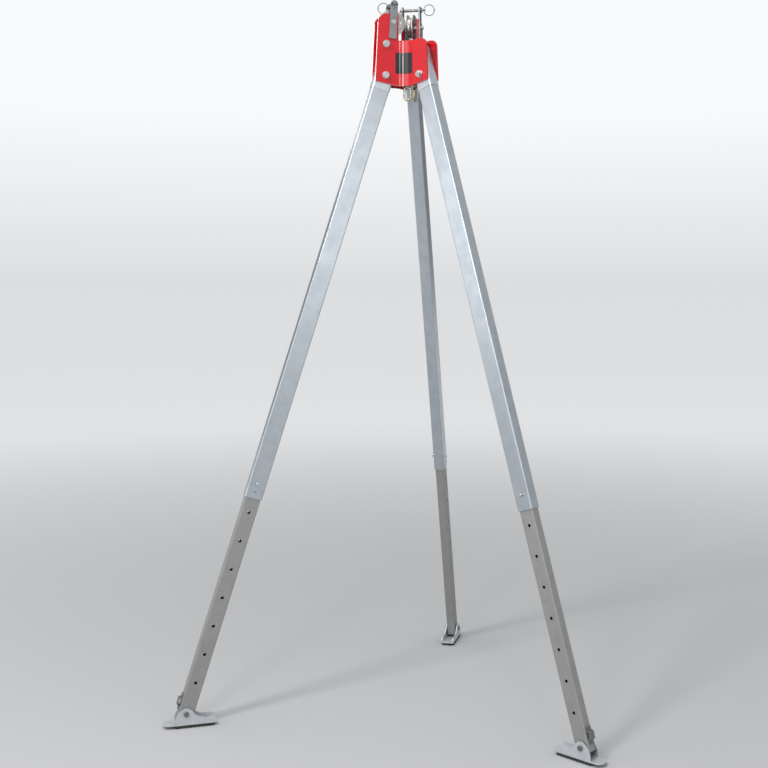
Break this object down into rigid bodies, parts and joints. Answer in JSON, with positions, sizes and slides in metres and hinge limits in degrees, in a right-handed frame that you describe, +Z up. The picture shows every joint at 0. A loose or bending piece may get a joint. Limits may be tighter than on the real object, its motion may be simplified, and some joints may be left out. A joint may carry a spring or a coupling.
{
  "type": "rescue tripod",
  "caption": "Tall three-legged rescue tripod with telescopic box-section legs, hinged bent-plate head, rope sheaves under keeper pins, anchor eyes and tilting treaded feet.",
  "frame": {"origin": "on the floor, under the middle of the tripod's box", "axes": "+Z up, +Y along the rear leg's plane away from the axis, +X to the right seen from the front"},
  "size_m": [1.4872, 1.2934, 2.4526],
  "materials": {
    "red_coat": "gloss powder coat",
    "label_black": "satin film, bare",
    "plated_steel": "zinc plated, satin",
    "strap_steel": "bright rolled",
    "sheave_metal": "turned, satin",
    "bronze": "plain bearing",
    "gilt_steel": "yellow zinc plated",
    "bright_aluminium": "clear anodised, satin",
    "sleeve_aluminium": "clear anodised, satin",
    "grey_aluminium": "grey anodised, matte",
    "black_plastic": "moulded",
    "zinc_steel": "hot-dip galvanised",
    "black_rubber": "moulded tread"
  },
  "bodies": {
    "head": {"head_plate_front": "red_coat", "head_plate_left": "red_coat", "head_plate_right": "red_coat", "label_plate": "label_black", "pivot_bolts": "plated_steel", "pivot_nuts": "plated_steel", "spacer_bolts": "plated_steel", "spacer_nuts": "plated_steel", "spacer_tubes": "plated_steel", "stop_bar_right": "red_coat", "strap_pair_left": "strap_steel", "strap_pair_rear": "strap_steel", "axle_bolts": "plated_steel", "axle_nuts": "plated_steel", "axle_spacers": "plated_steel", "anchor_bar": "red_coat"},
    "leg_left": {"outer_tube_left": "bright_aluminium", "leg_sleeve_left": "sleeve_aluminium", "pivot_bush_left": "bronze"},
    "lower_leg_left": {"inner_tube_left": "grey_aluminium", "end_plug_left": "black_plastic", "strap_loop_left": "strap_steel"},
    "foot_left": {"foot_shoe_left": "zinc_steel", "foot_pad_left": "black_rubber", "foot_bolt_left": "plated_steel"},
    "lock_left": {"lock_pin_left": "plated_steel"},
    "leg_rear": {"outer_tube_rear": "bright_aluminium", "leg_sleeve_rear": "sleeve_aluminium", "pivot_bush_rear": "bronze"},
    "lower_leg_rear": {"inner_tube_rear": "grey_aluminium", "end_plug_rear": "black_plastic", "strap_loop_rear": "strap_steel"},
    "foot_rear": {"foot_shoe_rear": "zinc_steel", "foot_pad_rear": "black_rubber", "foot_bolt_rear": "plated_steel"},
    "lock_rear": {"lock_pin_rear": "plated_steel"},
    "leg_right": {"outer_tube_right": "bright_aluminium", "leg_sleeve_right": "sleeve_aluminium", "pivot_bush_right": "bronze"},
    "lower_leg_right": {"inner_tube_right": "grey_aluminium", "end_plug_right": "black_plastic", "strap_loop_right": "strap_steel"},
    "foot_right": {"foot_shoe_right": "zinc_steel", "foot_pad_right": "black_rubber", "foot_bolt_right": "plated_steel"},
    "lock_right": {"lock_pin_right": "plated_steel"},
    "sheave_left": {"sheave_left": "sheave_metal", "sheave_bush_left": "bronze"},
    "keeper_left": {"keeper_pin_left": "plated_steel"},
    "ring_left": {"pull_ring_left": "plated_steel"},
    "sheave_rear": {"sheave_rear": "sheave_metal", "sheave_bush_rear": "bronze"},
    "keeper_rear": {"keeper_pin_rear": "plated_steel"},
    "ring_rear": {"pull_ring_rear": "plated_steel"},
    "eye_front": {"swivel_eye_front": "gilt_steel", "eye_nut_front": "gilt_steel"},
    "eye_back": {"swivel_eye_back": "gilt_steel", "eye_nut_back": "gilt_steel"}
  },
  "joints": [
    {"name": "leg_fold_left", "type": "hinge", "parent": "head", "child": "leg_left", "pos_m": [-0.07275, -0.24801, 2.19575], "axis": [0.5, -0.866, 0], "range_deg": [0, 17.5]},
    {"name": "leg_slide_left", "type": "slide", "parent": "leg_left", "child": "lower_leg_left", "axis": [0.2662, 0.1537, 0.9516], "range_m": [0, 0.6]},
    {"name": "foot_tilt_left", "type": "hinge", "parent": "lower_leg_left", "child": "foot_left", "pos_m": [-0.67351, -0.59486, 0.048], "axis": [-0.5, 0.866, 0], "range_deg": [-25, 60]},
    {"name": "lock_pull_left", "type": "slide", "parent": "leg_left", "child": "lock_left", "axis": [0.5, -0.866, 0], "range_m": [0, 0.06]},
    {"name": "leg_fold_rear", "type": "hinge", "parent": "head", "child": "leg_rear", "pos_m": [0, -0.12201, 2.19575], "axis": [-1, 0, 0], "range_deg": [0, 17.5]},
    {"name": "leg_slide_rear", "type": "slide", "parent": "leg_rear", "child": "lower_leg_rear", "axis": [0, -0.3074, 0.9516], "range_m": [0, 0.6]},
    {"name": "foot_tilt_rear", "type": "hinge", "parent": "lower_leg_rear", "child": "foot_rear", "pos_m": [0, 0.57169, 0.048], "axis": [1, 0, 0], "range_deg": [-25, 60]},
    {"name": "lock_pull_rear", "type": "slide", "parent": "leg_rear", "child": "lock_rear", "axis": [-1, 0, 0], "range_m": [0, 0.06]},
    {"name": "leg_fold_right", "type": "hinge", "parent": "head", "child": "leg_right", "pos_m": [0.07275, -0.24801, 2.19575], "axis": [0.5, 0.866, 0], "range_deg": [0, 17.5]},
    {"name": "leg_slide_right", "type": "slide", "parent": "leg_right", "child": "lower_leg_right", "axis": [-0.2662, 0.1537, 0.9516], "range_m": [0, 0.6]},
    {"name": "foot_tilt_right", "type": "hinge", "parent": "lower_leg_right", "child": "foot_right", "pos_m": [0.67351, -0.59486, 0.048], "axis": [-0.5, -0.866, 0], "range_deg": [-25, 60]},
    {"name": "lock_pull_right", "type": "slide", "parent": "leg_right", "child": "lock_right", "axis": [0.5, 0.866, 0], "range_m": [0, 0.06]},
    {"name": "sheave_spin_left", "type": "hinge", "parent": "head", "child": "sheave_left", "pos_m": [-0.0498, -0.23476, 2.37225], "axis": [0.5, -0.866, 0], "continuous": true},
    {"name": "keeper_pull_left", "type": "slide", "parent": "head", "child": "keeper_left", "axis": [-0.5, 0.866, 0], "range_m": [0, 0.08]},
    {"name": "ring_swing_left", "type": "hinge", "parent": "keeper_left", "child": "ring_left", "pos_m": [-0.06898, -0.19526, 2.43217], "axis": [0.0453, 0.0262, 0.9986], "range_deg": [-150, 10]},
    {"name": "sheave_spin_rear", "type": "hinge", "parent": "head", "child": "sheave_rear", "pos_m": [0, -0.14851, 2.37225], "axis": [-1, 0, 0], "continuous": true},
    {"name": "keeper_pull_rear", "type": "slide", "parent": "head", "child": "keeper_rear", "axis": [1, 0, 0], "range_m": [0, 0.08]},
    {"name": "ring_swing_rear", "type": "hinge", "parent": "keeper_rear", "child": "ring_rear", "pos_m": [0.0438, -0.15165, 2.43217], "axis": [0, -0.0523, 0.9986], "range_deg": [-95, 65]},
    {"name": "eye_turn_front", "type": "hinge", "parent": "head", "child": "eye_front", "pos_m": [0.00745, -0.2311, 2.16975], "axis": [0, 0, 1], "continuous": true},
    {"name": "eye_turn_back", "type": "hinge", "parent": "head", "child": "eye_back", "pos_m": [0.02545, -0.19992, 2.16975], "axis": [0, 0, 1], "continuous": true}
  ]
}
